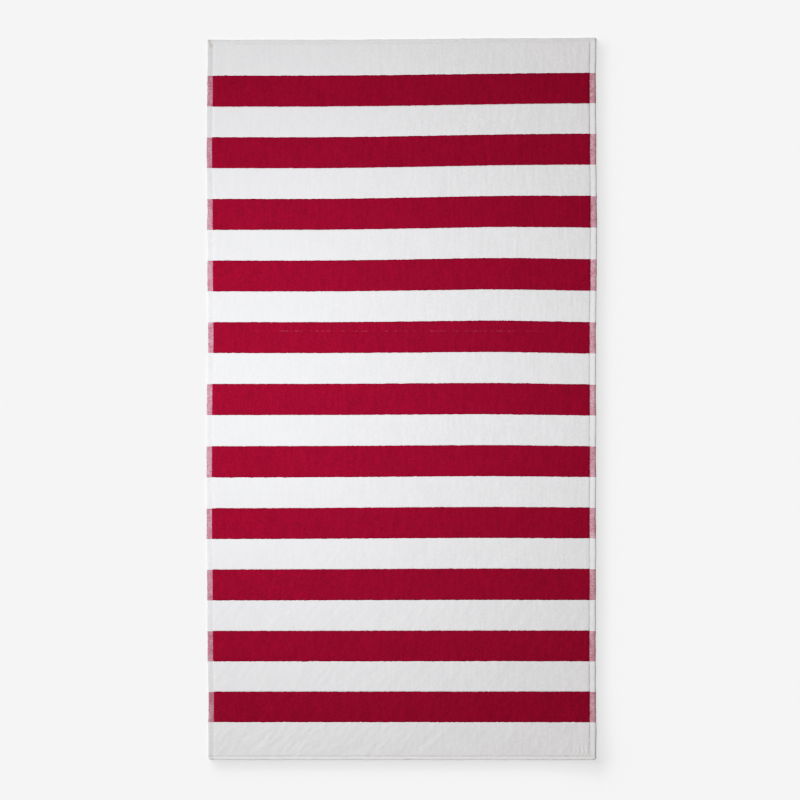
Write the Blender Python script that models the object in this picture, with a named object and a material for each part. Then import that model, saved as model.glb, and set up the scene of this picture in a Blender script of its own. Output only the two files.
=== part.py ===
"""Striped terry beach towel, spread flat.

X runs across the towel, Y along it and Z up, in metres. The origin is the middle
of the underside, which is flat all over, because the towel lies on a surface.

The cloth is one solid. Its face is a field of pile with a lower band of plain
weave along each side and a narrow turned hem at each end, parted from the pile
by the groove of its stitching. The outline wanders a little, and the cloth is
pulled up towards one corner, so its stripes bow there and that end slants.
"""

import math
from collections import namedtuple

import bmesh
import bpy

# Driving sizes of the cloth
WIDTH = 1.004
LENGTH = 1.852
PILE_TOP = 0.0038

# Widths of the hems, from the edge to the stitch line
LEFT_HEM = 0.0154
RIGHT_HEM = 0.0172
END_HEM = 0.0100

# The stripes, counted from the bottom end
STRIPE_COUNT = 11
BOTTOM_PANEL = 0.0959
RED_DEPTH = 0.0790
STRIPE_PITCH = 0.1584

# Rows and columns of faces between the hems
ROWS_IN_STRIPE = 2
ROWS_IN_PANEL = 2
FIELD_COLUMNS = 26

# A hem in section. place is 0 at the edge and 1 at the stitch line. Each hem is
# highest at its crest, just in from its folded edge.
HEM_CREST = 0.0029
CREST_PLACE = 0.28
Step = namedtuple("Step", "place height")
SIDE_SECTION = (
    Step(place=0.00, height=0.0010),
    Step(place=0.08, height=0.0023),
    Step(place=CREST_PLACE, height=HEM_CREST),
    Step(place=0.62, height=0.0026),
    Step(place=0.88, height=0.0022),
    Step(place=1.00, height=0.0014),
    Step(place=1.10, height=0.0028),
    Step(place=1.32, height=0.0036),
)
END_SECTION = (
    Step(place=0.00, height=0.0010),
    Step(place=0.10, height=0.0024),
    Step(place=CREST_PLACE, height=HEM_CREST),
    Step(place=0.75, height=0.0028),
    Step(place=1.00, height=0.0017),
    Step(place=1.20, height=0.0030),
    Step(place=1.65, height=0.0036),
)

# The top hem's stitching is drawn in less tightly, so its groove goes no lower than this
TOP_GROOVE_FLOOR = 0.0027

# How far each side edge lies inside the widest place, by distance from the bottom end
Edge = namedtuple("Edge", "along left_in right_in")
SIDE_EDGES = (
    Edge(along=0.00, left_in=0.0042, right_in=0.0018),
    Edge(along=0.14, left_in=0.0049, right_in=0.0023),
    Edge(along=0.29, left_in=0.0026, right_in=0.0031),
    Edge(along=0.45, left_in=0.0019, right_in=0.0023),
    Edge(along=0.61, left_in=0.0001, right_in=0.0027),
    Edge(along=0.77, left_in=0.0000, right_in=0.0021),
    Edge(along=0.93, left_in=0.0009, right_in=0.0023),
    Edge(along=1.09, left_in=0.0040, right_in=0.0027),
    Edge(along=1.25, left_in=0.0022, right_in=0.0004),
    Edge(along=1.41, left_in=0.0018, right_in=0.0000),
    Edge(along=1.56, left_in=0.0001, right_in=0.0015),
    Edge(along=1.72, left_in=0.0019, right_in=0.0026),
    Edge(along=1.86, left_in=0.0031, right_in=0.0015),
)

# Where the cloth is pulled along its length. The pull grows from none at from_x to
# all of it at full_x, is strongest at along, and fades over the two reaches.
Pull = namedtuple("Pull", "move from_x full_x along reach_up reach_down")
PULLS = (
    Pull(move=0.0115, from_x=-0.27, full_x=0.55, along=1.44, reach_up=0.47, reach_down=0.41),
    Pull(move=-0.0033, from_x=0.30, full_x=-0.45, along=0.69, reach_up=0.18, reach_down=0.31),
    Pull(move=-0.0069, from_x=0.19, full_x=0.54, along=1.24, reach_up=0.25, reach_down=0.50),
)

# How the cloth has drawn together or apart along its length, near the bottom end
Slack = namedtuple("Slack", "along move")
SLACKS = (
    Slack(along=0.000, move=0.0000),
    Slack(along=0.096, move=0.0015),
    Slack(along=0.175, move=0.0006),
    Slack(along=0.254, move=-0.0003),
    Slack(along=0.333, move=-0.0010),
    Slack(along=0.413, move=-0.0010),
    Slack(along=0.492, move=-0.0001),
)

# Soft rises and hollows of the pile. angle turns the long reach away from X.
Swell = namedtuple("Swell", "x along rise long_reach short_reach angle")
SWELLS = (
    Swell(x=-0.458, along=1.800, rise=-0.0007, long_reach=0.090, short_reach=0.016, angle=90),
    Swell(x=-0.430, along=1.790, rise=0.0004, long_reach=0.080, short_reach=0.020, angle=84),
    Swell(x=0.310, along=1.610, rise=0.0004, long_reach=0.110, short_reach=0.030, angle=80),
    Swell(x=0.365, along=1.580, rise=-0.0004, long_reach=0.130, short_reach=0.040, angle=84),
    Swell(x=0.070, along=1.215, rise=0.0004, long_reach=0.090, short_reach=0.030, angle=90),
    Swell(x=0.200, along=1.240, rise=0.0003, long_reach=0.070, short_reach=0.030, angle=90),
    Swell(x=-0.180, along=1.090, rise=0.0003, long_reach=0.300, short_reach=0.022, angle=0),
    Swell(x=-0.300, along=0.620, rise=0.0003, long_reach=0.160, short_reach=0.070, angle=35),
    Swell(x=0.120, along=0.420, rise=-0.0003, long_reach=0.180, short_reach=0.070, angle=40),
    Swell(x=0.330, along=0.230, rise=0.0003, long_reach=0.150, short_reach=0.060, angle=50),
    Swell(x=0.420, along=0.060, rise=-0.0005, long_reach=0.070, short_reach=0.018, angle=42),
    Swell(x=-0.420, along=0.130, rise=0.0003, long_reach=0.120, short_reach=0.050, angle=60),
)

# Corner radii
Corner = namedtuple("Corner", "left bottom radius")
CORNERS = (
    Corner(left=True, bottom=True, radius=0.0080),
    Corner(left=False, bottom=True, radius=0.0055),
    Corner(left=True, bottom=False, radius=0.0030),
    Corner(left=False, bottom=False, radius=0.0020),
)

# Each face material: its name, its colour in linear light and its roughness
Finish = namedtuple("Finish", "name colour roughness")
WHITE_PILE = Finish("white_pile", (0.80, 0.80, 0.79), 0.95)
RED_PILE = Finish("red_pile", (0.30, 0.006, 0.026), 0.95)
WHITE_WEAVE = Finish("white_weave", (0.74, 0.74, 0.73), 0.85)
PINK_WEAVE = Finish("pink_weave", (0.52, 0.27, 0.31), 0.85)
FINISHES = (WHITE_PILE, RED_PILE, WHITE_WEAVE, PINK_WEAVE)


def clear_scene():
    """Removes what the scene starts with."""
    for obj in list(bpy.data.objects):
        bpy.data.objects.remove(obj, do_unlink=True)


def smooth(share):
    """Eases from 0 to 1, and stays level outside that range."""
    share = min(max(share, 0.0), 1.0)
    return share * share * (3.0 - 2.0 * share)


def between(rows, at, key, value):
    """Reads a table smoothly: the column value, where the column key is at."""
    for low, high in zip(rows, rows[1:]):
        start = getattr(low, key)
        end = getattr(high, key)
        if at <= end:
            share = smooth((at - start) / (end - start))
            return getattr(low, value) * (1.0 - share) + getattr(high, value) * share
    return getattr(rows[-1], value)


def section_height(section, place):
    """Height of the face at a place in a hem's section, and of the pile past it."""
    if place >= section[-1].place:
        return PILE_TOP
    return between(section, place, "place", "height")


def pulled(x, along):
    """How far the pulls move the cloth along its length here."""
    total = 0.0
    for pull in PULLS:
        away = along - pull.along
        reach = pull.reach_up if away > 0.0 else pull.reach_down
        grown = smooth((x - pull.from_x) / (pull.full_x - pull.from_x))
        total += pull.move * grown * math.exp(-((away / reach) ** 2))
    return total


def swelling(x, along):
    """Rise or hollow of the pile here."""
    total = 0.0
    for swell in SWELLS:
        turn = math.radians(swell.angle)
        right = x - swell.x
        up = along - swell.along
        down_long = (right * math.cos(turn) + up * math.sin(turn)) / swell.long_reach
        down_short = (up * math.cos(turn) - right * math.sin(turn)) / swell.short_reach
        total += swell.rise * math.exp(-(down_long**2) - down_short**2)
    return total


def across_stations():
    """Distances across the cloth, from the left edge, of the lines between faces."""
    left = [step.place * LEFT_HEM for step in SIDE_SECTION]
    right = [WIDTH - step.place * RIGHT_HEM for step in reversed(SIDE_SECTION)]
    field = right[0] - left[-1]
    middle = [left[-1] + field * n / FIELD_COLUMNS for n in range(1, FIELD_COLUMNS)]
    return left + middle + right


def spread(start, end, count):
    """count even stations after start, up to and including end."""
    return [start + (end - start) * n / count for n in range(1, count + 1)]


def along_stations():
    """Distances along the cloth, from the bottom edge, of the lines between faces."""
    stations = [step.place * END_HEM for step in END_SECTION]
    stations += spread(stations[-1], BOTTOM_PANEL, ROWS_IN_PANEL)
    for stripe in range(STRIPE_COUNT):
        red_start = BOTTOM_PANEL + stripe * STRIPE_PITCH
        red_end = red_start + RED_DEPTH
        stations += spread(red_start, red_end, ROWS_IN_STRIPE)
        if stripe < STRIPE_COUNT - 1:
            stations += spread(red_end, red_start + STRIPE_PITCH, ROWS_IN_STRIPE)
    top = [LENGTH - step.place * END_HEM for step in reversed(END_SECTION)]
    return stations + spread(stations[-1], top[0], ROWS_IN_PANEL) + top[1:]


def is_red(along):
    """Whether the middle of a row of faces lies in a red stripe."""
    into_pitch = (along - BOTTOM_PANEL) % STRIPE_PITCH
    last_end = BOTTOM_PANEL + (STRIPE_COUNT - 1) * STRIPE_PITCH + RED_DEPTH
    return BOTTOM_PANEL < along < last_end and into_pitch < RED_DEPTH


def face_height(across, along):
    """Height of the upper face above the floor."""
    side = min(
        section_height(SIDE_SECTION, across / LEFT_HEM),
        section_height(SIDE_SECTION, (WIDTH - across) / RIGHT_HEM),
    )
    bottom = section_height(END_SECTION, along / END_HEM)
    from_top = (LENGTH - along) / END_HEM
    top = section_height(END_SECTION, from_top)
    if from_top > CREST_PLACE:
        top = max(top, TOP_GROOVE_FLOOR)
    height = min(side, bottom, top)
    in_pile = smooth((height - HEM_CREST) / (PILE_TOP - HEM_CREST))
    return height + in_pile * swelling(across - WIDTH / 2.0, along)


def rounded(across, along):
    """Draws a point near a corner in, so that the corner is round."""
    for corner in CORNERS:
        radius = corner.radius
        in_side = across if corner.left else WIDTH - across
        in_end = along if corner.bottom else LENGTH - along
        if in_side >= radius or in_end >= radius:
            continue
        side_share = 1.0 - in_side / radius
        end_share = 1.0 - in_end / radius
        in_side = radius * (1.0 - side_share * math.sqrt(1.0 - end_share**2 / 2.0))
        in_end = radius * (1.0 - end_share * math.sqrt(1.0 - side_share**2 / 2.0))
        across = in_side if corner.left else WIDTH - in_side
        along = in_end if corner.bottom else LENGTH - in_end
    return across, along


def place_on_floor(across, along):
    """X and Y of a point of the cloth, with its edges' wander, its pulls and its slack."""
    across, along = rounded(across, along)
    left = -WIDTH / 2.0 + between(SIDE_EDGES, along, "along", "left_in")
    right = WIDTH / 2.0 - between(SIDE_EDGES, along, "along", "right_in")
    x = left + (right - left) * across / WIDTH
    drawn = between(SLACKS, along, "along", "move")
    return x, along + pulled(x, along) + drawn


def make_materials():
    """One material for each finish, in the order of FINISHES."""
    materials = []
    for finish in FINISHES:
        material = bpy.data.materials.new(finish.name)
        material.use_nodes = True
        shader = material.node_tree.nodes["Principled BSDF"]
        shader.inputs["Base Color"].default_value = (*finish.colour, 1.0)
        shader.inputs["Roughness"].default_value = finish.roughness
        shader.inputs["Metallic"].default_value = 0.0
        materials.append(material)
    return materials


def finish_at(across, along):
    """The finish of a face whose middle is here."""
    in_band = across < LEFT_HEM or across > WIDTH - RIGHT_HEM
    if is_red(along):
        return PINK_WEAVE if in_band else RED_PILE
    return WHITE_WEAVE if in_band else WHITE_PILE


def shape_face(mesh):
    """Lays an even grid of faces out as the towel's upper face."""
    across_at = across_stations()
    along_at = along_stations()
    bmesh.ops.create_grid(
        mesh,
        x_segments=len(across_at) - 1,
        y_segments=len(along_at) - 1,
        size=0.5,
    )
    station = {}
    for vert in mesh.verts:
        column = round((vert.co.x + 0.5) * (len(across_at) - 1))
        row = round((vert.co.y + 0.5) * (len(along_at) - 1))
        station[vert] = (across_at[column], along_at[row])
    for face in mesh.faces:
        across = sum(station[vert][0] for vert in face.verts) / len(face.verts)
        along = sum(station[vert][1] for vert in face.verts) / len(face.verts)
        face.material_index = FINISHES.index(finish_at(across, along))
        face.smooth = True
    for vert, (across, along) in station.items():
        x, y = place_on_floor(across, along)
        vert.co = (x, y, face_height(across, along))


def close_below(mesh):
    """Drops the edge straight down to the floor and closes the flat underside."""
    rim = [edge for edge in mesh.edges if edge.is_boundary]
    dropped = bmesh.ops.extrude_edge_only(mesh, edges=rim)["geom"]
    for item in dropped:
        if isinstance(item, bmesh.types.BMVert):
            item.co.z = 0.0
    floor_rim = [edge for edge in mesh.edges if edge.is_boundary]
    bmesh.ops.contextual_create(mesh, geom=floor_rim)
    bmesh.ops.recalc_face_normals(mesh, faces=mesh.faces[:])


def centre_on_origin(mesh):
    """Moves the middle of the outline to the origin, seen from above."""
    middle_x = (min(v.co.x for v in mesh.verts) + max(v.co.x for v in mesh.verts)) / 2.0
    middle_y = (min(v.co.y for v in mesh.verts) + max(v.co.y for v in mesh.verts)) / 2.0
    bmesh.ops.translate(mesh, verts=mesh.verts[:], vec=(-middle_x, -middle_y, 0.0))


def make_towel(collection):
    """The whole cloth as one closed solid."""
    mesh = bmesh.new()
    shape_face(mesh)
    close_below(mesh)
    centre_on_origin(mesh)
    data = bpy.data.meshes.new("towel")
    mesh.to_mesh(data)
    mesh.free()
    for material in make_materials():
        data.materials.append(material)
    towel = bpy.data.objects.new("towel", data)
    collection.objects.link(towel)


def main():
    clear_scene()
    collection = bpy.data.collections.new("beach_towel")
    bpy.context.scene.collection.children.link(collection)
    make_towel(collection)


main()
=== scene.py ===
"""Striped terry beach towel spread flat, dressed on its CAD frame.

X runs across the towel, Y along it and Z up, in metres. "across" and "along" are
distances in the cloth, from its left edge and from its bottom end.
"""

import math
from collections import namedtuple

import bpy
import numpy as np
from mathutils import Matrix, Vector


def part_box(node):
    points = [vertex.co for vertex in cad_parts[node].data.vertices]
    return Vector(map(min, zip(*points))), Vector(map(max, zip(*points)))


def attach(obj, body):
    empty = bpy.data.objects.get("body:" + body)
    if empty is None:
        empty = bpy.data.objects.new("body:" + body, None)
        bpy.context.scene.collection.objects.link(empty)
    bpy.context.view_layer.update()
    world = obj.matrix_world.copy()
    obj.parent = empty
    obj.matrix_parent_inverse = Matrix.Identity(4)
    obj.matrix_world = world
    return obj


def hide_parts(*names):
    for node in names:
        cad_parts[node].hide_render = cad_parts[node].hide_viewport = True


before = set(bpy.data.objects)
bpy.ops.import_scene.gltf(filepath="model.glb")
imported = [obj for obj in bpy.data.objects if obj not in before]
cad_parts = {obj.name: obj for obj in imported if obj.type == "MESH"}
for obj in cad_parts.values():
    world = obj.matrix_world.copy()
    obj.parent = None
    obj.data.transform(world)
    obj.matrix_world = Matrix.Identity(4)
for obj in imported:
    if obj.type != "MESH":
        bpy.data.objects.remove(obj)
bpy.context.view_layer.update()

# Sizes of the cloth, as in the CAD source, but for the red stripes: their pile leans half a
# millimetre over the white at either edge
WIDTH = 1.004
LENGTH = 1.852
PILE_TOP = 0.0038
LEFT_HEM = 0.0154
RIGHT_HEM = 0.0172
END_HEM = 0.0100
STRIPE_COUNT = 11
BOTTOM_PANEL = 0.0954
RED_DEPTH = 0.0800
STRIPE_PITCH = 0.1584

# Each hem in section: its width, and heights by place, 0 at the edge and 1 at the stitches
Hem = namedtuple("Hem", "width places heights")
HEMS = {
    "left": Hem(
        LEFT_HEM,
        (0.00, 0.04, 0.10, 0.22, 0.60, 0.88, 1.00),
        (0.0014, 0.0028, 0.0033, 0.0035, 0.0030, 0.0025, 0.0023),
    ),
    "right": Hem(
        RIGHT_HEM,
        (0.00, 0.05, 0.12, 0.22, 0.36, 0.62, 0.88, 1.00),
        (0.0015, 0.0024, 0.0030, 0.0034, 0.0036, 0.0031, 0.0026, 0.0025),
    ),
    "bottom": Hem(
        END_HEM,
        (0.00, 0.08, 0.20, 0.35, 0.50, 0.72, 0.86, 1.00),
        (0.0012, 0.0020, 0.0028, 0.0033, 0.0032, 0.0023, 0.0019, 0.0018),
    ),
    "top": Hem(
        END_HEM,
        (0.00, 0.06, 0.15, 0.35, 0.60, 1.00),
        (0.0014, 0.0025, 0.0029, 0.0032, 0.0034, 0.0034),
    ),
}

# How far each side edge lies inside the widest place, by distance from the bottom end
EDGE_ALONG = (0.00, 0.14, 0.29, 0.45, 0.61, 0.77, 0.93, 1.09, 1.25, 1.41, 1.56, 1.72, 1.86)
LEFT_IN = (
    0.0042, 0.0049, 0.0026, 0.0019, 0.0001, 0.0000, 0.0009,
    0.0040, 0.0022, 0.0018, 0.0001, 0.0019, 0.0031,
)
RIGHT_IN = (
    0.0018, 0.0023, 0.0031, 0.0023, 0.0027, 0.0021, 0.0023,
    0.0027, 0.0004, 0.0000, 0.0015, 0.0026, 0.0015,
)

# Pulls that arch the stripes: how far each moves the cloth along its length, the X where it
# starts and where it is full, its middle along the cloth, and its reach up and down from there
Pull = namedtuple("Pull", "move from_x full_x along reach_up reach_down")
PULLS = (
    Pull(0.0115, -0.27, 0.55, 1.44, 0.47, 0.41),
    Pull(-0.0033, 0.30, -0.45, 0.69, 0.18, 0.31),
    Pull(-0.0069, 0.19, 0.54, 1.24, 0.25, 0.50),
)

# How the cloth has drawn together or apart along its length, near the bottom end
SLACK_ALONG = (0.000, 0.096, 0.175, 0.254, 0.333, 0.413, 0.492)
SLACK_MOVE = (0.0000, 0.0015, 0.0006, -0.0003, -0.0010, -0.0010, -0.0001)

# Shallow rises and hollows of the pile: the middle, the rise, the reach along and across a
# direction, and that direction in degrees from +X
Swell = namedtuple("Swell", "x along rise long_reach short_reach angle")
SWELLS = (
    Swell(-0.458, 1.800, -0.0007, 0.090, 0.016, 90),
    Swell(-0.430, 1.790, 0.0004, 0.080, 0.020, 84),
    Swell(0.310, 1.610, 0.0004, 0.110, 0.030, 80),
    Swell(0.365, 1.580, -0.0004, 0.130, 0.040, 84),
    Swell(0.070, 1.215, 0.0004, 0.090, 0.030, 90),
    Swell(0.200, 1.240, 0.0003, 0.070, 0.030, 90),
    Swell(-0.180, 1.090, 0.0003, 0.300, 0.022, 0),
    Swell(-0.300, 0.620, 0.0003, 0.160, 0.070, 35),
    Swell(0.120, 0.420, -0.0003, 0.180, 0.070, 40),
    Swell(0.330, 0.230, 0.0003, 0.150, 0.060, 50),
    Swell(0.420, 0.060, -0.0005, 0.070, 0.018, 42),
    Swell(-0.420, 0.130, 0.0003, 0.120, 0.050, 60),
)

# Corners of the cloth, and how round each is
Corner = namedtuple("Corner", "left bottom radius")
CORNERS = (
    Corner(True, True, 0.0080),
    Corner(False, True, 0.0110),
    Corner(True, False, 0.0030),
    Corner(False, False, 0.0020),
)

# The middle of the outline is the origin, and the bottom edge is its lowest Y
MIDDLE = -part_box("towel")[0].y

# The cut pile leans out over the stitching, so it starts at this place in a hem's
# section and rises more steeply than the solid's face
PILE_START = 0.94
PILE_PLACES = (PILE_START, 0.98, 1.05, 1.16, 1.34)
PILE_HEIGHTS = (0.0026, 0.0030, 0.0033, 0.0036, PILE_TOP)

# Cell of the pile's grid, and the height at which the skirt of a strip of pile ends
CELL = 0.0026
SKIRT_FLOOR = 0.0010

# Both faces of the ground weave, and the cells of its grid
GROUND_TOP = 0.0013
GROUND_FLOOR = 0.0005
GROUND_CELL = 0.011
GROUND_COLUMNS = 92

# How uneven the loops make the lower face
LOOP_UNEVEN = 0.00012

# Where the ground and the ends of the side hems stop under a hem, as a place in its section
TUCKED = 0.93

# Length of a stitch, and the thread's radius
STITCH = 0.0032
THREAD = 0.00032

# Curl of the bottom right corner: its height, and its reach from the side and from the end
CURL = 0.0016
CURL_FROM_SIDE = 0.100
CURL_FROM_END = 0.110

rng = np.random.default_rng(20)


def smooth(share):
    """Eases from 0 to 1, and stays level outside that range."""
    share = np.clip(share, 0.0, 1.0)
    return share * share * (3.0 - 2.0 * share)


def between(keys, values, at):
    """Reads a table smoothly, at every place in an array."""
    keys = np.asarray(keys)
    values = np.asarray(values)
    at = np.asarray(at, dtype=float)
    low = np.clip(np.searchsorted(keys, at, side="left") - 1, 0, len(keys) - 2)
    share = smooth((at - keys[low]) / (keys[low + 1] - keys[low]))
    return values[low] * (1.0 - share) + values[low + 1] * share


def pulled(x, along):
    """How far the pulls move the cloth along its length."""
    total = 0.0
    for pull in PULLS:
        away = along - pull.along
        reach = np.where(away > 0.0, pull.reach_up, pull.reach_down)
        grown = smooth((x - pull.from_x) / (pull.full_x - pull.from_x))
        total = total + pull.move * grown * np.exp(-((away / reach) ** 2))
    return total


def swelling(x, along):
    """Rise or hollow of the pile."""
    total = 0.0
    for swell in SWELLS:
        turn = math.radians(swell.angle)
        right = x - swell.x
        up = along - swell.along
        down_long = (right * math.cos(turn) + up * math.sin(turn)) / swell.long_reach
        down_short = (up * math.cos(turn) - right * math.sin(turn)) / swell.short_reach
        total = total + swell.rise * np.exp(-(down_long**2) - down_short**2)
    return total


def section(places, heights, place):
    """Height at a place in a section, which goes on level past both of its ends."""
    return between(places, heights, np.clip(place, places[0], places[-1]))


def pile_height(across, along):
    """Height of the pile, and how far each point is from its rim, from 0 to 1."""
    place = np.minimum(across / LEFT_HEM, (WIDTH - across) / RIGHT_HEM)
    in_end = np.minimum(along, LENGTH - along) / END_HEM
    side = section(PILE_PLACES, PILE_HEIGHTS, place)
    end = section(PILE_PLACES, PILE_HEIGHTS, in_end)
    height = np.minimum(side, end)
    in_pile = smooth((height - PILE_HEIGHTS[0]) / (PILE_TOP - PILE_HEIGHTS[0]))
    return height + in_pile * swelling(across - WIDTH / 2.0, along), in_pile


def lift(across, along):
    """How far the cloth curls up off the floor at its bottom right corner."""
    side = (WIDTH - across) / CURL_FROM_SIDE
    end = along / CURL_FROM_END
    return CURL * np.exp(-(side**2) - end**2)


def rounded(across, along):
    """Draws points near a corner in, so that the corner is round."""
    across = np.array(across, dtype=float)
    along = np.array(along, dtype=float)
    for corner in CORNERS:
        radius = corner.radius
        in_side = across if corner.left else WIDTH - across
        in_end = along if corner.bottom else LENGTH - along
        near = (in_side < radius) & (in_end < radius)
        side_share = np.clip(1.0 - in_side / radius, 0.0, 1.0)
        end_share = np.clip(1.0 - in_end / radius, 0.0, 1.0)
        new_side = radius * (1.0 - side_share * np.sqrt(1.0 - end_share**2 / 2.0))
        new_end = radius * (1.0 - end_share * np.sqrt(1.0 - side_share**2 / 2.0))
        across = np.where(near, new_side if corner.left else WIDTH - new_side, across)
        along = np.where(near, new_end if corner.bottom else LENGTH - new_end, along)
    return across, along


def on_floor(across, along):
    """X and Y of points of the cloth, with its edges' wander and its pulls."""
    across, along = rounded(across, along)
    left = -WIDTH / 2.0 + between(EDGE_ALONG, LEFT_IN, along)
    right = WIDTH / 2.0 - between(EDGE_ALONG, RIGHT_IN, along)
    x = left + (right - left) * across / WIDTH
    drawn = between(SLACK_ALONG, SLACK_MOVE, np.minimum(along, SLACK_ALONG[-1]))
    return x, along + pulled(x, along) + drawn - MIDDLE


def noise_field(rows, columns, along_size, across_size, angle=0.0):
    """Even random field of unit spread, drawn out by two sizes in cells."""
    white = rng.standard_normal((rows, columns))
    down = np.fft.fftfreq(rows)[:, None]
    right = np.fft.rfftfreq(columns)[None, :]
    turn = math.radians(angle)
    first = right * math.cos(turn) + down * math.sin(turn)
    second = down * math.cos(turn) - right * math.sin(turn)
    reach = (first * across_size) ** 2 + (second * along_size) ** 2
    field = np.fft.irfft2(np.fft.rfft2(white) * np.exp(-2.0 * math.pi**2 * reach), s=white.shape)
    return field / field.std()


def wander(count, size):
    """Random line of unit spread, smoothed over a size in points."""
    line = rng.standard_normal(count)
    reach = (np.fft.rfftfreq(count) * size) ** 2
    line = np.fft.irfft(np.fft.rfft(line) * np.exp(-2.0 * math.pi**2 * reach), n=count)
    return line / line.std()


# Shine of cloth, and the roughness of its sheen
SPECULAR = 0.25
SHEEN_ROUGHNESS = 0.45

# The same for cut pile, which hardly shines
PILE_SPECULAR = 0.05


class Paint:
    """The nodes of one material, placed in metres by its object coordinates."""

    def __init__(self, name, roughness, sheen=0.0):
        self.material = bpy.data.materials.new(name)
        self.material.use_nodes = True
        self.nodes = self.material.node_tree.nodes
        self.links = self.material.node_tree.links
        self.shader = self.nodes["Principled BSDF"]
        self.shader.inputs["Roughness"].default_value = roughness
        self.shader.inputs["Specular IOR Level"].default_value = SPECULAR
        self.shader.inputs["Sheen Weight"].default_value = sheen
        self.shader.inputs["Sheen Roughness"].default_value = SHEEN_ROUGHNESS
        self.place = self.nodes.new("ShaderNodeTexCoord").outputs["Object"]

    def join(self, source, target):
        """Feeds a socket with a number, a colour or another node's output."""
        if isinstance(source, (int, float)):
            target.default_value = source
        elif isinstance(source, tuple):
            target.default_value = (*source, 1.0) if len(target.default_value) == 4 else source
        else:
            self.links.new(source, target)

    def stretched(self, scale):
        """Object coordinates times a scale for each axis."""
        scaled = self.nodes.new("ShaderNodeVectorMath")
        scaled.operation = "MULTIPLY"
        self.links.new(self.place, scaled.inputs[0])
        scaled.inputs[1].default_value = scale
        return scaled.outputs["Vector"]

    def noise(self, scale, detail=2.0):
        """Noise from 0 to 1, with a count of spots to the metre for each axis."""
        node = self.nodes.new("ShaderNodeTexNoise")
        node.inputs["Scale"].default_value = 1.0
        node.inputs["Detail"].default_value = detail
        node.inputs["Roughness"].default_value = 0.5
        self.links.new(self.stretched(scale), node.inputs["Vector"])
        return node.outputs["Fac"]

    def cells(self, scale):
        """Distance from the middle of the nearest cell, with cells to the metre for each axis."""
        node = self.nodes.new("ShaderNodeTexVoronoi")
        node.inputs["Scale"].default_value = 1.0
        self.links.new(self.stretched(scale), node.inputs["Vector"])
        return node.outputs["Distance"]

    def ramp(self, value, low, high, start=0.0, end=1.0):
        """Takes a value from low..high to start..end, held at both ends."""
        node = self.nodes.new("ShaderNodeMapRange")
        node.interpolation_type = "SMOOTHSTEP"
        self.join(value, node.inputs["Value"])
        self.join(low, node.inputs["From Min"])
        self.join(high, node.inputs["From Max"])
        self.join(start, node.inputs["To Min"])
        self.join(end, node.inputs["To Max"])
        return node.outputs["Result"]

    def sum(self, operation, first, second):
        """One step of arithmetic, such as ADD."""
        node = self.nodes.new("ShaderNodeMath")
        node.operation = operation
        self.join(first, node.inputs[0])
        self.join(second, node.inputs[1])
        return node.outputs["Value"]

    def mix(self, share, first, second):
        """A share of the second colour in the first."""
        node = self.nodes.new("ShaderNodeMix")
        node.data_type = "RGBA"
        self.join(share, node.inputs["Factor"])
        self.join(first, node.inputs["A"])
        self.join(second, node.inputs["B"])
        return node.outputs["Result"]

    def axis(self, name):
        """X, Y or Z, in metres."""
        node = self.nodes.new("ShaderNodeSeparateXYZ")
        self.links.new(self.place, node.inputs["Vector"])
        return node.outputs[name]

    def with_stain_and_shade(self, colour, stain_and_shade):
        """Mixes a mark into a colour, strongest beyond its full lines. Some marks are stains and
        some are painted shade.
        """
        share = stain_and_shade.share
        bounds = (("X", stain_and_shade.from_x, stain_and_shade.full_x), ("Y", stain_and_shade.from_y, stain_and_shade.full_y))
        for axis, start, full in bounds:
            ends = (0.0, 1.0) if full > start else (1.0, 0.0)
            within = self.ramp(self.axis(axis), min(start, full), max(start, full), *ends)
            share = self.sum("MULTIPLY", within, share)
        return self.mix(share, colour, stain_and_shade.colour)

    def finish(self, colour, height, depth, rough=None):
        """Joins the colour, and a height as bump of some depth in metres, to the shader."""
        self.join(colour, self.shader.inputs["Base Color"])
        bump = self.nodes.new("ShaderNodeBump")
        bump.inputs["Strength"].default_value = 1.0
        bump.inputs["Distance"].default_value = depth
        self.join(height, bump.inputs["Height"])
        self.links.new(bump.outputs["Normal"], self.shader.inputs["Normal"])
        if rough is not None:
            self.join(rough, self.shader.inputs["Roughness"])
        return self.material


# Marks on the cloth near its corners: a soiled patch, a darker grey mark and the painted shade of
# a fold.
# Each starts at one line in X and one in Y, and is full at the next, towards a corner
StainAndShade = namedtuple("StainAndShade", "from_x full_x from_y full_y share colour")
# Painted shade: the brownish shadow of a fold at the top left corner, on the left hem's edge and
# on the top hem
SIDE_TOP_PAINTED_SHADE = StainAndShade(-0.4955, -0.4935, 0.896, 0.908, 0.50, (0.42, 0.38, 0.34))
TOP_LEFT_PAINTED_SHADE = StainAndShade(-0.4880, -0.4905, 0.900, 0.906, 0.62, (0.42, 0.38, 0.34))
# A darker grey mark at the bottom left corner of the hem
BOTTOM_LEFT_DARK_MARK = StainAndShade(-0.4790, -0.4850, -0.917, -0.921, 0.30, (0.42, 0.41, 0.40))
BOTTOM_RIGHT_STAIN = StainAndShade(0.462, 0.478, -0.905, -0.918, 0.26, (0.90, 0.86, 0.77))


# How much each size of unevenness counts in the colour of a pile: tone that differs at random,
# and partly painted shade, since the same noises raise the bump where the colour is lighter
Mottle = namedtuple("Mottle", "tuft grain clump streak patch")
WHITE_MOTTLE = Mottle(0.30, 0.44, 0.14, 0.20, 0.10)
RED_MOTTLE = Mottle(0.25, 0.62, 0.16, 0.22, 0.10)


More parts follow.
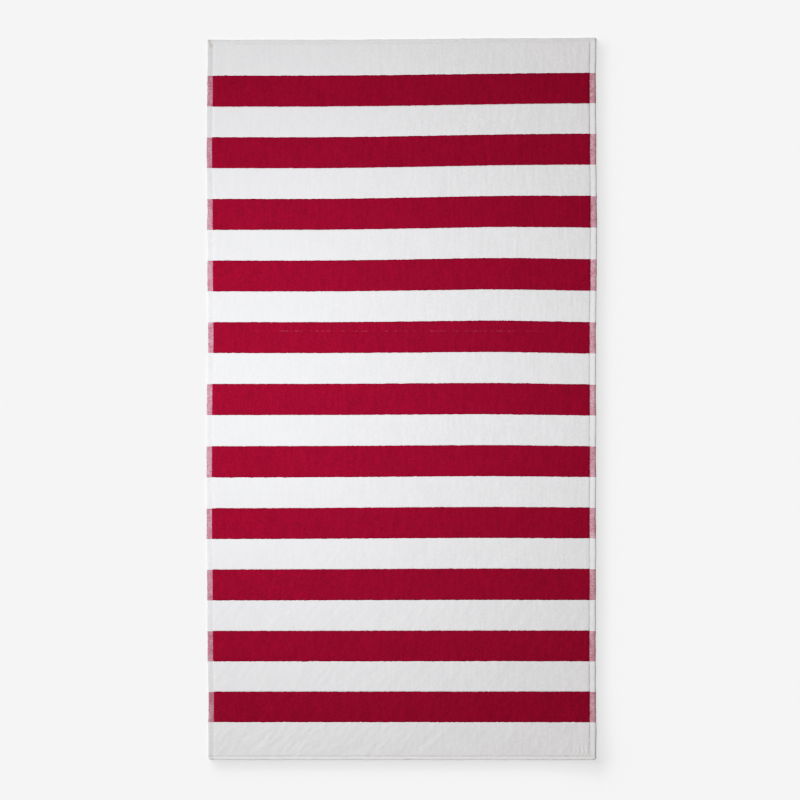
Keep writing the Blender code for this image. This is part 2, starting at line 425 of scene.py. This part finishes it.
def pile_material(name, light, dark, mottle, at_left=1.0):
    """Cut pile: tufts about a millimetre across, brushed into faint lengthwise streaks.

    at_left is how strong the unevenness is at the left edge, against 1 near the right.
    """
    paint = Paint(name, 0.95)
    paint.shader.inputs["Specular IOR Level"].default_value = PILE_SPECULAR
    tuft = paint.noise((760.0, 760.0, 760.0), detail=3.0)
    grain = paint.noise((350.0, 330.0, 350.0))
    clump = paint.noise((170.0, 120.0, 170.0))
    streak = paint.noise((120.0, 24.0, 60.0))
    patch = paint.noise((14.0, 14.0, 14.0))
    tone = paint.sum("MULTIPLY", paint.ramp(tuft, 0.30, 0.70), mottle.tuft)
    for value, weight in zip((grain, clump, streak, patch), mottle[1:]):
        tone = paint.sum("ADD", tone, paint.ramp(value, 0.30, 0.70, 0.0, weight))
    tone = paint.sum("SUBTRACT", paint.sum("DIVIDE", tone, sum(mottle)), 0.5)
    strength = paint.ramp(paint.axis("X"), -0.42, 0.36, at_left, 1.0)
    tone = paint.sum("ADD", paint.sum("MULTIPLY", tone, strength), 0.5)
    # Partly painted shade: the tone is darker where the tufts and grain of the bump are low
    colour = paint.mix(tone, dark, light)
    height = paint.sum("ADD", tuft, paint.sum("MULTIPLY", grain, 0.6))
    rough = paint.ramp(clump, 0.3, 0.7, 0.90, 1.0)
    return paint, colour, height, rough


def white_pile_material():
    """White pile, a little soiled at one corner."""
    light = (0.958, 0.958, 0.962)
    dark = (0.689, 0.689, 0.692)
    paint, colour, height, rough = pile_material("white_pile", light, dark, WHITE_MOTTLE, 0.55)
    colour = paint.with_stain_and_shade(colour, BOTTOM_RIGHT_STAIN)
    return paint.finish(colour, height, 0.00050, rough)


# A line of the red pile that lies a little open, in faint dashes, and lets the ground show
BARE_LINE_Y = 0.174
BARE_COLOUR = (0.62, 0.22, 0.27)
BARE_SHARE = 0.16


def red_pile_material():
    """Dark red pile, with the dashes of its open line."""
    # The wide span from light to dark is partly painted shade of the tufts on each other
    light = (0.337, 0.0024, 0.0260)
    dark = (0.166, 0.0008, 0.0122)
    paint, colour, height, rough = pile_material("red_pile", light, dark, RED_MOTTLE)
    across_it = paint.sum("SUBTRACT", paint.axis("Y"), BARE_LINE_Y)
    near = paint.ramp(paint.sum("ABSOLUTE", across_it, 0.0), 0.0003, 0.0011, 1.0, 0.0)
    dashes = paint.ramp(paint.noise((110.0, 20.0, 1.0)), 0.48, 0.66)
    from_left = paint.ramp(paint.axis("X"), -0.44, -0.33)
    to_right = paint.ramp(paint.axis("X"), 0.24, 0.42, 1.0, 0.0)
    share = paint.sum("MULTIPLY", paint.sum("MULTIPLY", near, dashes), BARE_SHARE)
    share = paint.sum("MULTIPLY", share, paint.sum("MULTIPLY", from_left, to_right))
    colour = paint.mix(share, colour, BARE_COLOUR)
    return paint.finish(colour, height, 0.00060, rough)


# The span of the threads' unevenness that goes from warp to weft, in the weaves' colours
WHITE_THREADS = (0.1, 1.0)
PINK_THREADS = (-0.1, 1.0)


def grey(level):
    """A colour with no hue."""
    return (level, level, level)


def weave_material(name, warp, weft, mixed, end_shade=0.0, stains_and_shades=()):
    """Plain weave about a millimetre to the thread, warp along Y and weft across.

    mixed is the span of the threads' unevenness that goes from warp to weft. end_shade is how
    much painted shade greys the weave towards both ends of its edge.
    """
    paint = Paint(name, 0.85, sheen=0.05)
    weft_threads = paint.noise((110.0, 1150.0, 200.0))
    warp_threads = paint.noise((1150.0, 140.0, 200.0))
    blots = paint.noise((420.0, 420.0, 420.0))
    patches = paint.noise((60.0, 36.0, 60.0), detail=1.0)
    share = paint.ramp(weft_threads, 0.36, 0.64, 0.0, 0.62)
    share = paint.sum("ADD", share, paint.ramp(warp_threads, 0.36, 0.64, 0.0, 0.38))
    share = paint.sum("ADD", share, paint.ramp(blots, 0.30, 0.70, -0.22, 0.22))
    share = paint.sum("ADD", share, paint.ramp(patches, 0.30, 0.70, -0.14, 0.14))
    colour = paint.mix(paint.ramp(share, mixed[0], mixed[1]), warp, weft)
    # Painted shade: the weave turns greyer towards the top and bottom ends of its edge
    if end_shade > 0.0:
        at_top = paint.ramp(paint.axis("Y"), 0.30, 0.86, 0.0, end_shade)
        at_bottom = paint.ramp(paint.axis("Y"), -0.80, -0.35, 0.6 * end_shade, 0.0)
        end_shade_colour = tuple(0.5 * part for part in weft)
        colour = paint.mix(paint.sum("ADD", at_top, at_bottom), colour, end_shade_colour)
    for stain_and_shade in stains_and_shades:
        colour = paint.with_stain_and_shade(colour, stain_and_shade)
    knots = paint.cells((900.0, 900.0, 900.0))
    height = paint.sum("ADD", paint.sum("MULTIPLY", weft_threads, 0.7), knots)
    height = paint.sum("ADD", height, paint.sum("MULTIPLY", warp_threads, 0.5))
    rough = paint.ramp(blots, 0.3, 0.7, 0.78, 0.92)
    return paint.finish(colour, height, 0.00035, rough)


def loop_material(name, light, dark):
    """Uncut loops of the underside, about two millimetres each."""
    paint = Paint(name, 0.95, sheen=0.08)
    loops = paint.cells((520.0, 430.0, 520.0))
    lean = paint.noise((120.0, 90.0, 120.0))
    fine = paint.noise((900.0, 900.0, 900.0))
    shade = paint.ramp(loops, 0.05, 0.75, 0.75, 0.0)
    shade = paint.sum("ADD", shade, paint.ramp(lean, 0.3, 0.7, 0.0, 0.25))
    colour = paint.mix(shade, dark, light)
    height = paint.sum("SUBTRACT", paint.sum("MULTIPLY", fine, 0.3), loops)
    return paint.finish(colour, height, 0.0011)


def thread_material(name, light, dark):
    """Sewing thread, twisted, with a faint sheen."""
    paint = Paint(name, 0.6, sheen=0.05)
    twist = paint.noise((1600.0, 1600.0, 900.0), detail=1.0)
    wear = paint.noise((90.0, 90.0, 90.0), detail=1.0)
    shade = paint.ramp(twist, 0.3, 0.7, 0.0, 0.6)
    shade = paint.sum("ADD", shade, paint.ramp(wear, 0.3, 0.7, 0.0, 0.4))
    colour = paint.mix(shade, dark, light)
    return paint.finish(colour, twist, 0.00012)


def floor_material():
    """Matt pale paper."""
    paint = Paint("pale_floor", 1.0)
    paint.shader.inputs["Specular IOR Level"].default_value = 0.0
    grain = paint.noise((2.2, 2.2, 2.2), detail=3.0)
    colour = paint.mix(grain, grey(0.899), grey(0.901))
    return paint.finish(colour, grain, 0.0)


def add_piece(name, points, faces, materials, indices=None, flat=None):
    """One mesh piece of the towel. flat is the first and last of the faces not to smooth."""
    data = bpy.data.meshes.new(name)
    data.from_pydata(np.asarray(points).tolist(), [], faces)
    for material in materials:
        data.materials.append(material)
    if indices is not None:
        data.polygons.foreach_set("material_index", indices)
    is_smooth = np.ones(len(faces), dtype=bool)
    if flat is not None:
        is_smooth[flat[0] : flat[1]] = False
    data.polygons.foreach_set("use_smooth", is_smooth)
    data.update()
    piece = bpy.data.objects.new(name, data)
    bpy.context.scene.collection.objects.link(piece)
    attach(piece, "root")
    return piece


def grid_faces(rows, columns, wrap=False):
    """Quads of a grid whose points run along its rows, and round them if wrap is set."""
    row = np.arange(rows - 1)[:, None] * columns
    column = np.arange(columns if wrap else columns - 1)[None, :]
    after = (column + 1) % columns
    corners = [row + column, row + after, row + columns + after, row + columns + column]
    return np.stack(np.broadcast_arrays(*corners), axis=-1).reshape(-1, 4).tolist()


def rim_points(rows, columns):
    """Numbers of a grid's outer points, in order round it."""
    index = np.arange(rows * columns).reshape(rows, columns)
    return np.concatenate([index[0, :-1], index[:-1, -1], index[-1, :0:-1], index[:0:-1, 0]])


def wall_faces(rim, foot):
    """Quads between the points of a rim and the points below them."""
    corners = zip(rim, np.roll(rim, -1), np.roll(foot, -1), foot)
    return [[int(b), int(a), int(d), int(c)] for a, b, c, d in corners]


def stripe_lines():
    """Distances along the cloth where the colour changes, and both ends of the pile."""
    lines = [PILE_START * END_HEM]
    for stripe in range(STRIPE_COUNT):
        start = BOTTOM_PANEL + stripe * STRIPE_PITCH
        lines += [start, start + RED_DEPTH]
    return lines + [LENGTH - PILE_START * END_HEM]


def pile_stations():
    """Stations of the pile's grid, and the row at which each stripe starts."""
    left = np.array(PILE_PLACES) * LEFT_HEM
    right = WIDTH - np.array(PILE_PLACES[::-1]) * RIGHT_HEM
    count = round((right[0] - left[-1]) / CELL)
    across = np.concatenate([left[:-1], np.linspace(left[-1], right[0], count + 1), right[1:]])
    lines = stripe_lines()
    near_end = (np.array(PILE_PLACES) - PILE_START) * END_HEM
    along = [lines[0]]
    starts = [0]
    for start, end in zip(lines, lines[1:]):
        inner_start = start + near_end[-1] if start == lines[0] else start
        inner_end = end - near_end[-1] if end == lines[-1] else end
        if inner_start != start:
            along += (start + near_end[1:]).tolist()
        count = round((inner_end - inner_start) / CELL)
        along += np.linspace(inner_start, inner_end, count + 1)[1:].tolist()
        if inner_end != end:
            along += (end - near_end[-2::-1]).tolist()
        starts.append(len(along) - 1)
    return across, np.array(along), starts


# Heights of the pile's unevenness: single cells and small clumps, streaks along the cloth,
# creases on the slant, shallow swells, ripples at the bottom end, and puckers at one corner
Relief = namedtuple("Relief", "cell clump streak crease swell ripple pucker")
RELIEF = Relief(0.000055, 0.000030, 0.000110, 0.000150, 0.00016, 0.00026, 0.00068)

# The puckers in the pile at the bottom right corner: the middle, the reach, the spacing, how
# far they lean as they run along the cloth, and how far and how often they bend
Puckers = namedtuple("Puckers", "across along reach_across reach_along spacing lean bend period")
PUCKERS = Puckers(0.965, 0.024, 0.026, 0.018, 0.0106, 0.45, 0.0030, 0.027)


def corner_puckers(across, along):
    """Puckers of unit height, which fade out away from their middle."""
    side = (across - PUCKERS.across) / PUCKERS.reach_across
    end = (along - PUCKERS.along) / PUCKERS.reach_along
    bend = PUCKERS.bend * np.sin(along / PUCKERS.period * 2.0 * math.pi)
    place = (across - PUCKERS.lean * along + bend) / PUCKERS.spacing
    return np.exp(-(side**2) - end**2) * np.sin(place * 2.0 * math.pi)


def pile_relief(across, along, in_pile):
    """Streaks, tufts and unevenness of the pile, in metres."""
    rows, columns = across.shape
    up = smooth((along - 0.75) / 0.5)
    right = smooth((across - 0.30) / 0.4)
    low = 1.0 - smooth((along - 0.42) / 0.25)
    bottom = smooth((0.110 - along) / 0.03)
    rough = 0.55 + 0.45 * np.maximum(right, low)
    relief = RELIEF.cell * rough * noise_field(rows, columns, 0.75, 0.75)
    relief += RELIEF.clump * rough * noise_field(rows, columns, 2.2, 1.6)
    streaks = noise_field(rows, columns, 6.0, 0.9)
    relief += RELIEF.streak * streaks * (0.08 + 0.30 * up + 0.62 * right)
    creases = noise_field(rows, columns, 1.3, 6.0, angle=48.0)
    relief += RELIEF.crease * creases * (0.10 + low) * (1.0 - 0.35 * right)
    relief += RELIEF.swell * noise_field(rows, columns, 14.0, 14.0)
    ripples = noise_field(rows, columns, 1.1, 2.6, angle=42.0)
    relief += RELIEF.ripple * ripples * bottom * (1.0 - 0.8 * right)
    relief += RELIEF.pucker * corner_puckers(across, along)
    return relief * in_pile


# How far points of the pile stray: on the face, and more at its outer rim; and how ragged a
# colour's edge is, in tufts that lean together and in single ones
STRAY = 0.00028
RIM_STRAY = 1.3
LEANING_TUFTS = 0.00020
SINGLE_TUFTS = 0.00022

# How uneven the rim of the pile is, and how deep the line is where two colours meet
RIM_UNEVEN = 0.00010
COLOUR_DIP = 0.00005

# How far the pile is pushed towards the side hem at the bottom right corner
CORNER_PUSH = 0.0042


def pile_points(across_at, along_at, colour_rows):
    """Points of the pile's grid, and the heights at which a skirt under them would end."""
    across, along = np.meshgrid(across_at, along_at)
    rows, columns = across.shape
    height, in_pile = pile_height(across, along)
    height += pile_relief(across, along, in_pile)
    height += RIM_UNEVEN * (1.0 - in_pile) * noise_field(rows, columns, 1.0, 1.0)
    shift = STRAY * rng.standard_normal((2, rows, columns))
    shift[0][:, [0, -1]] *= RIM_STRAY
    shift[1][[0, -1], :] *= RIM_STRAY
    pushed = smooth((0.034 - along) / 0.026) * smooth((across - 0.93) / 0.05)
    shift[0] += CORNER_PUSH * pushed
    ragged = LEANING_TUFTS * noise_field(len(colour_rows), columns, 0.01, 1.0)
    ragged += SINGLE_TUFTS * rng.standard_normal(ragged.shape)
    shift[1][colour_rows, :] = ragged
    height[colour_rows, :] -= COLOUR_DIP
    curl = lift(across, along)
    x, y = on_floor(across + shift[0], along + shift[1])
    return np.stack([x, y, height + curl], axis=-1), SKIRT_FLOOR + curl


def make_pile(white, red):
    """The pile, one piece for each stripe, cut from one grid so that the edges meet."""
    across_at, along_at, starts = pile_stations()
    columns = len(across_at)
    points, skirt = pile_points(across_at, along_at, starts[1:-1])
    pieces = []
    for number, (first, last) in enumerate(zip(starts, starts[1:])):
        colour, material = ("red", red) if number % 2 == 1 else ("white", white)
        top = points[first : last + 1].reshape(-1, 3)
        rim = rim_points(last - first + 1, columns)
        below = top[rim].copy()
        below[:, 2] = skirt[first : last + 1].reshape(-1)[rim]
        foot = len(top) + np.arange(len(rim))
        faces = grid_faces(last - first + 1, columns)
        face_count = len(faces)
        faces += wall_faces(rim, foot)
        faces.append(foot[::-1].tolist())
        piece = add_piece(
            f"pile_{colour}_{number:02d}",
            np.concatenate([top, below]),
            faces,
            [material],
            flat=(face_count, len(faces)),
        )
        pieces.append(piece)
    return pieces


def in_red(along):
    """Whether points along the cloth lie in a red stripe."""
    into_pitch = (along - BOTTOM_PANEL) % STRIPE_PITCH
    last_end = BOTTOM_PANEL + (STRIPE_COUNT - 1) * STRIPE_PITCH + RED_DEPTH
    return (along > BOTTOM_PANEL) & (along < last_end) & (into_pitch < RED_DEPTH)


# A folded hem in section, from under the pile over the top, round the fold and back
# below. rise is a share of the height of the hem's section at that place.
Fold = namedtuple("Fold", "place rise floor")
HEM_FOLD = (
    Fold(1.06, 0.80, 0.0),
    Fold(1.00, 0.97, 0.0),
    Fold(0.95, 1.00, 0.0),
    Fold(0.88, 1.00, 0.0),
    Fold(0.75, 1.00, 0.0),
    Fold(0.60, 1.00, 0.0),
    Fold(0.45, 1.00, 0.0),
    Fold(0.30, 1.00, 0.0),
    Fold(0.19, 1.00, 0.0),
    Fold(0.12, 1.00, 0.0),
    Fold(0.06, 1.00, 0.0),
    Fold(0.02, 1.00, 0.0),
    Fold(0.00, 0.70, 0.0001),
    Fold(0.03, 0.0, 0.00020),
    Fold(0.10, 0.0, 0.00002),
    Fold(0.30, 0.0, 0.0),
    Fold(0.60, 0.0, 0.0),
    Fold(0.86, 0.0, 0.0),
    Fold(0.93, 0.0, 0.00010),
    Fold(0.95, 0.0, 0.00060),
    Fold(1.06, 0.0, 0.00075),
)


# Unevenness of a hem's face: tucks and puckers at the stitches, dents in the fold and the
# weave itself; then how far its edge wanders, slowly and quickly
HemRelief = namedtuple("HemRelief", "tuck pucker fold weave slow_edge quick_edge")
HEM_RELIEF = HemRelief(0.00007, 0.00009, 0.00005, 0.000035, 0.00030, 0.00018)

# Spacing of the puckers, and how much it varies
PUCKER_SPACING = 0.0095
PUCKER_SPREAD = 0.0022

# Width of hem over which a pucker leans along by one whole spacing
PUCKER_LEAN = 0.011

# The ends of an end hem, folded in: how much thicker they are and how far in that starts to
# fade, the length it fades over, and the length and height at which the very end is rounded
END_SWELL = 0.16
END_SWELL_FROM = 0.012
END_SWELL_FADE = 0.008
END_ROUND = 0.0016
END_HEIGHT = 0.55


def hem_points(count, hem, step, closed_ends):
    """Section points of one hem: distance from the edge, and height, for each station."""
    place, rise, floor = np.array(HEM_FOLD).T[:, None, :]
    height = section(hem.places, hem.heights, place)
    tuck = wander(count, 0.0022 / step)[:, None]
    strength = np.clip(0.6 + 0.5 * wander(count, 0.030 / step), 0.0, 1.5)[:, None]
    spacing = PUCKER_SPACING + PUCKER_SPREAD * wander(count, 0.020 / step)
    phase = np.cumsum(step / spacing)[:, None]
    pucker = np.sin(2.0 * math.pi * (phase + place * hem.width / PUCKER_LEAN))
    near_stitch = np.exp(-(((place - 0.86) / 0.30) ** 2))
    near_fold = np.exp(-(((place - 0.02) / 0.22) ** 2))
    dents = wander(count, 0.006 / step)[:, None]
    uneven = HEM_RELIEF.tuck * tuck * near_stitch
    uneven = uneven + HEM_RELIEF.pucker * pucker * strength * (0.35 + 0.65 * near_stitch)
    uneven = uneven + HEM_RELIEF.fold * dents * near_fold
    uneven = uneven + HEM_RELIEF.weave * noise_field(count, place.size, 1.0, 1.0)
    height = floor + rise * (height + uneven)
    edge = HEM_RELIEF.slow_edge * wander(count, 0.012 / step)[:, None]
    edge = edge + HEM_RELIEF.quick_edge * wander(count, 0.003 / step)[:, None]
    inward = place * hem.width + edge * near_fold
    if closed_ends:
        at = np.arange(count) * step
        from_end = np.minimum(at, at[::-1])[:, None]
        swell = 1.0 - smooth((from_end - END_SWELL_FROM) / END_SWELL_FADE)
        round_off = np.sqrt(np.clip(from_end / END_ROUND, 0.0, 1.0))
        height = height * (1.0 + END_SWELL * swell)
        height = height * (END_HEIGHT + (1.0 - END_HEIGHT) * round_off)
    return inward, height


def from_edge(side, inward, run):
    """Distances across and along the cloth, for points that lie inward from one edge."""
    if side == "left":
        return inward, run
    if side == "right":
        return WIDTH - inward, run
    if side == "bottom":
        return run, inward
    return run, LENGTH - inward


# Distance between the stations of a hem
HEM_STATION = 0.0022


def make_hem(name, side, white, pink):
    """One folded hem swept along its edge. side is left, right, bottom or top."""
    long_side = side in ("left", "right")
    hem = HEMS[side]
    start = TUCKED * END_HEM if long_side else 0.0
    end = LENGTH - start if long_side else WIDTH
    count = round((end - start) / HEM_STATION) + 1
    stations = np.linspace(start, end, count)
    step = stations[1] - stations[0]
    inward, height = hem_points(count, hem, step, not long_side)
    run = np.broadcast_to(stations[:, None], inward.shape)
    across, along = from_edge(side, inward, run)
    x, y = on_floor(across, along)
    height = np.maximum(height, 0.0) + lift(across, along)
    points = np.stack([x, y, height], axis=-1).reshape(-1, 3)
    size = inward.shape[1]
    faces = grid_faces(count, size, wrap=True)
    face_count = len(faces)
    faces.append(list(range(size))[::-1])
    faces.append([(count - 1) * size + number for number in range(size)])
    if side in ("left", "top"):
        faces = [face[::-1] for face in faces]
    middles = (stations[:-1] + stations[1:]) / 2.0
    is_pink = in_red(middles) if long_side else np.zeros(count - 1, dtype=bool)
    indices = np.repeat(is_pink.astype(int), size).tolist() + [0, 0]
    return add_piece(name, points, faces, [white, pink], indices, flat=(face_count, len(faces)))


def make_ground(white, red, white_loops, red_loops):
    """The woven ground under the pile, closed, with the loops of its underside."""
    lines = stripe_lines()
    along_at = [TUCKED * END_HEM, lines[0]]
    for start, end in zip(lines, lines[1:]):
        count = max(round((end - start) / GROUND_CELL), 1)
        along_at += np.linspace(start, end, count + 1)[1:].tolist()
    along_at = np.array([*along_at, LENGTH - TUCKED * END_HEM])
    across_at = np.linspace(TUCKED * LEFT_HEM, WIDTH - TUCKED * RIGHT_HEM, GROUND_COLUMNS)
    across, along = np.meshgrid(across_at, along_at)
    rows, columns = across.shape
    x, y = on_floor(across, along)
    top = np.full(across.shape, GROUND_TOP)
    uneven = np.clip(noise_field(rows, columns, 2.0, 2.0), -1.6, 1.6)
    low = GROUND_FLOOR + LOOP_UNEVEN * uneven
    points = np.concatenate([np.stack([x, y, z], axis=-1).reshape(-1, 3) for z in (top, low)])
    points[:, 2] += np.tile(lift(across, along).reshape(-1), 2)
    upper = grid_faces(rows, columns)
    lower = [[number + rows * columns for number in face[::-1]] for face in upper]
    rim = rim_points(rows, columns)
    sides = wall_faces(rim, rim + rows * columns)
    middles = (along_at[:-1] + along_at[1:]) / 2.0
    is_red = np.repeat(in_red(middles).astype(int), columns - 1)
    indices = np.concatenate([is_red, 2 + is_red, np.zeros(len(sides), dtype=int)]).tolist()
    faces = upper + lower + sides
    materials = [white, red, white_loops, red_loops]
    flat = (len(upper) + len(lower), len(faces))
    return add_piece("towel_ground", points, faces, materials, indices, flat)


# Steps in a stitch, its gap and its arch above the cloth, and how deep its ends dip
STITCH_STEPS = 6
STITCH_GAP = 0.00004
STITCH_ARCH = 0.00030
STITCH_DIP = 0.0005

# How far the line of stitches wanders, slowly and quickly, and how many sides the thread has
SLOW_WANDER = 0.00016
QUICK_WANDER = 0.00006
THREAD_SIDES = 5


def make_stitches(name, side, white, pink):
    """One continuous sewing thread that dips into the cloth at each stitch.

    The pile's dye has tinted it where it crosses a red stripe.
    """
    long_side = side in ("left", "right")
    hem = HEMS[side]
    length = LENGTH if long_side else WIDTH
    start = 0.004 if long_side else 0.003
    count = int((length - 2.0 * start) / STITCH) * STITCH_STEPS + 1
    run = start + np.arange(count) * STITCH / STITCH_STEPS
    bend = SLOW_WANDER * wander(count, 40) + QUICK_WANDER * wander(count, 4)
    inward = (PILE_START - 0.03 if long_side else PILE_START - 0.05) * hem.width + bend
    across, along = from_edge(side, inward, run)
    cloth = section(hem.places, hem.heights, inward / hem.width)
    arch = np.sin(np.pi * (np.arange(count) % STITCH_STEPS) / STITCH_STEPS)
    z = cloth + lift(across, along) + STITCH_GAP + STITCH_ARCH * arch**0.6
    z = z - STITCH_DIP * (arch < 0.01)
    x, y = on_floor(across, along)
    centre = np.stack([x, y, z], axis=-1)
    ahead = np.gradient(centre, axis=0)
    ahead /= np.linalg.norm(ahead, axis=1)[:, None]
    out = np.cross(ahead, np.array([0.0, 0.0, 1.0]))
    out /= np.linalg.norm(out, axis=1)[:, None]
    up = np.cross(out, ahead)
    turn = np.arange(THREAD_SIDES)[None, :, None] / THREAD_SIDES * 2.0 * math.pi
    ring = np.cos(turn) * out[:, None, :] + np.sin(turn) * up[:, None, :]
    points = (centre[:, None, :] + THREAD * ring).reshape(-1, 3)
    faces = grid_faces(count, THREAD_SIDES, wrap=True)
    faces.append(list(range(THREAD_SIDES))[::-1])
    faces.append([(count - 1) * THREAD_SIDES + number for number in range(THREAD_SIDES)])
    tinted = in_red(run[:-1]) if long_side else np.zeros(count - 1, dtype=bool)
    indices = np.repeat(tinted.astype(int), THREAD_SIDES).tolist() + [0, 0]
    return add_piece(name, points, faces, [white, pink], indices)


def make_camera():
    """Straight above, as the photograph was taken."""
    lens = 85.0
    sensor = 36.0
    metres_across = 2.05656
    aim_x = -0.0041
    aim_y = -0.0033
    aim_height = 0.0030
    data = bpy.data.cameras.new("camera")
    data.type = "PERSP"
    data.lens = lens
    data.sensor_width = sensor
    data.clip_start = 0.05
    data.clip_end = 100.0
    camera = bpy.data.objects.new("camera", data)
    camera.location = (aim_x, aim_y, aim_height + metres_across * lens / sensor)
    bpy.context.scene.collection.objects.link(camera)
    bpy.context.scene.camera = camera


def add_sun(name, away, elevation, spread, strength, colour, receivers):
    """Wide sun that lights one collection. away is where it comes from, in degrees from +X."""
    data = bpy.data.lights.new(name, "SUN")
    data.angle = math.radians(spread)
    data.energy = strength
    data.color = colour
    light = bpy.data.objects.new(name, data)
    light.rotation_euler = (0.0, math.radians(90.0 - elevation), math.radians(away))
    bpy.context.scene.collection.objects.link(light)
    light.light_linking.receiver_collection = receivers


def add_area(name, place, size, power, colour, receivers):
    """Soft box that faces the middle of the towel and lights one collection."""
    data = bpy.data.lights.new(name, "AREA")
    data.shape = "RECTANGLE"
    data.size = size[0]
    data.size_y = size[1]
    data.energy = power
    data.color = colour
    light = bpy.data.objects.new(name, data)
    light.location = place
    light.rotation_mode = "QUATERNION"
    light.rotation_quaternion = light.location.to_track_quat("Z", "Y")
    bpy.context.scene.collection.objects.link(light)
    light.light_linking.receiver_collection = receivers


def make_world():
    """The pale backdrop past the floor's edge, which lights nothing."""
    paleness = 0.84
    world = bpy.data.worlds.new("backdrop")
    bpy.context.scene.world = world
    world.use_nodes = True
    background = world.node_tree.nodes["Background"]
    background.inputs["Color"].default_value = (*grey(paleness), 1.0)
    background.inputs["Strength"].default_value = 1.0
    seen = world.cycles_visibility
    seen.diffuse = False
    seen.glossy = False
    seen.transmission = False
    seen.scatter = False


# Output light for scene light, as a film's shoulder
TONES = (
    (0.0, 0.0),
    (0.10, 0.15),
    (0.20, 0.30),
    (0.30, 0.45),
    (0.40, 0.585),
    (0.544, 0.713),
    (0.684, 0.812),
    (0.80, 0.888),
    (1.0, 1.0),
)


def set_tones():
    """Standard view with the tone curve, on the curve that all three colours share."""
    view = bpy.context.scene.view_settings
    view.view_transform = "Standard"
    view.look = "None"
    view.exposure = 0.0
    view.gamma = 1.0
    view.use_curve_mapping = True
    mapping = view.curve_mapping
    curve = mapping.curves[3]
    for point, (x, y) in zip(curve.points, (TONES[0], TONES[-1])):
        point.location = (x, y)
    for x, y in TONES[1:-1]:
        curve.points.new(x, y)
    mapping.update()


def make_floor(receivers):
    """Wide floor just under the towel."""
    size = 30.0
    corners = [(-size, -size, 0.0), (size, -size, 0.0), (size, size, 0.0), (-size, size, 0.0)]
    data = bpy.data.meshes.new("floor")
    data.from_pydata(corners, [], [(0, 1, 2, 3)])
    data.materials.append(floor_material())
    floor = bpy.data.objects.new("floor", data)
    floor.location.z = -0.0001
    bpy.context.scene.collection.objects.link(floor)
    receivers.objects.link(floor)


# The floor's light comes from the upper left at every height: its share of the whole, and
# its direction, elevation and spread in degrees
Sun = namedtuple("Sun", "share away elevation spread")
FLOOR_LIGHT = (
    Sun(0.652, 135.0, 62.0, 44.0),
    Sun(0.032, 135.0, 19.5, 15.0),
    Sun(0.034, 135.0, 11.0, 10.0),
    Sun(0.061, 105.0, 4.6, 4.2),
    Sun(0.088, 125.0, 4.6, 4.2),
    Sun(0.070, 145.0, 4.6, 4.2),
    Sun(0.063, 165.0, 4.6, 4.2),
)
FLOOR_STRENGTH = 2.93


def make_lights(cloth, ground):
    """Soft light from the left for the towel, and light from the upper left for the floor."""
    for share, away, elevation, spread in FLOOR_LIGHT:
        strength = FLOOR_STRENGTH * share / math.sin(math.radians(elevation))
        name = f"floor_{int(away)}_{int(elevation)}"
        add_sun(name, away, elevation, spread, strength, (1.0, 1.0, 1.0), ground)
    add_area(
        "soft_box",
        place=(-0.47, 0.052, 1.080),
        size=(1.2, 1.2),
        power=11.4,
        colour=(0.945, 1.0, 1.06),
        receivers=cloth,
    )
    add_sun(
        "far_window",
        away=178.0,
        elevation=46.0,
        spread=26.0,
        strength=1.43,
        colour=(1.09, 1.0, 0.98),
        receivers=cloth,
    )


def main():
    """Builds the towel, its floor, its lights and its camera."""
    set_tones()
    make_camera()
    make_world()
    white = white_pile_material()
    red = red_pile_material()
    white_weave = weave_material(
        "white_weave",
        grey(0.95),
        grey(0.80),
        WHITE_THREADS,
        stains_and_shades=(BOTTOM_LEFT_DARK_MARK, BOTTOM_RIGHT_STAIN),
    )
    pink_weave = weave_material(
        "pink_weave", (0.67, 0.46, 0.50), (0.44, 0.14, 0.19), PINK_THREADS
    )
    # A darker copy of the white weave for the top hem: painted shade, with the painted fold
    # shadow at the top left corner
    shaded_top_white = weave_material(
        "shaded_top_white_weave", grey(0.88), grey(0.75), WHITE_THREADS, stains_and_shades=(TOP_LEFT_PAINTED_SHADE,)
    )
    # Darker copies of the weaves for the left hem: painted shade, greying further towards both
    # ends of the edge, with the painted fold shadow at its top corner
    shaded_left_white = weave_material(
        "shaded_left_white_weave", grey(0.90), grey(0.75), WHITE_THREADS, 0.26, (SIDE_TOP_PAINTED_SHADE,)
    )
    shaded_left_pink = weave_material(
        "shaded_left_pink_weave", (0.60, 0.36, 0.41), (0.38, 0.110, 0.155), PINK_THREADS, 0.10
    )
    white_loops = loop_material("white_loops", (0.84, 0.835, 0.84), (0.52, 0.51, 0.52))
    red_loops = loop_material("red_loops", (0.33, 0.010, 0.032), (0.15, 0.003, 0.012))
    thread = thread_material("sewing_thread", (0.84, 0.83, 0.84), (0.66, 0.64, 0.65))
    pink_thread = thread_material("tinted_thread", (0.62, 0.20, 0.26), (0.42, 0.07, 0.12))
    bands = {
        "left": (shaded_left_white, shaded_left_pink),
        "right": (white_weave, pink_weave),
        "bottom": (white_weave, pink_weave),
        "top": (shaded_top_white, pink_weave),
    }
    pieces = make_pile(white, red)
    for side, (white_band, pink_band) in bands.items():
        pieces.append(make_hem(f"hem_{side}", side, white_band, pink_band))
        pieces.append(make_stitches(f"stitches_{side}", side, thread, pink_thread))
    ground = make_ground(white_weave, pink_weave, white_loops, red_loops)
    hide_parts("towel")
    cloth_receivers = bpy.data.collections.new("cloth_receivers")
    floor_receivers = bpy.data.collections.new("floor_receivers")
    for piece in [*pieces, ground]:
        cloth_receivers.objects.link(piece)
    make_floor(floor_receivers)
    make_lights(cloth_receivers, floor_receivers)


main()
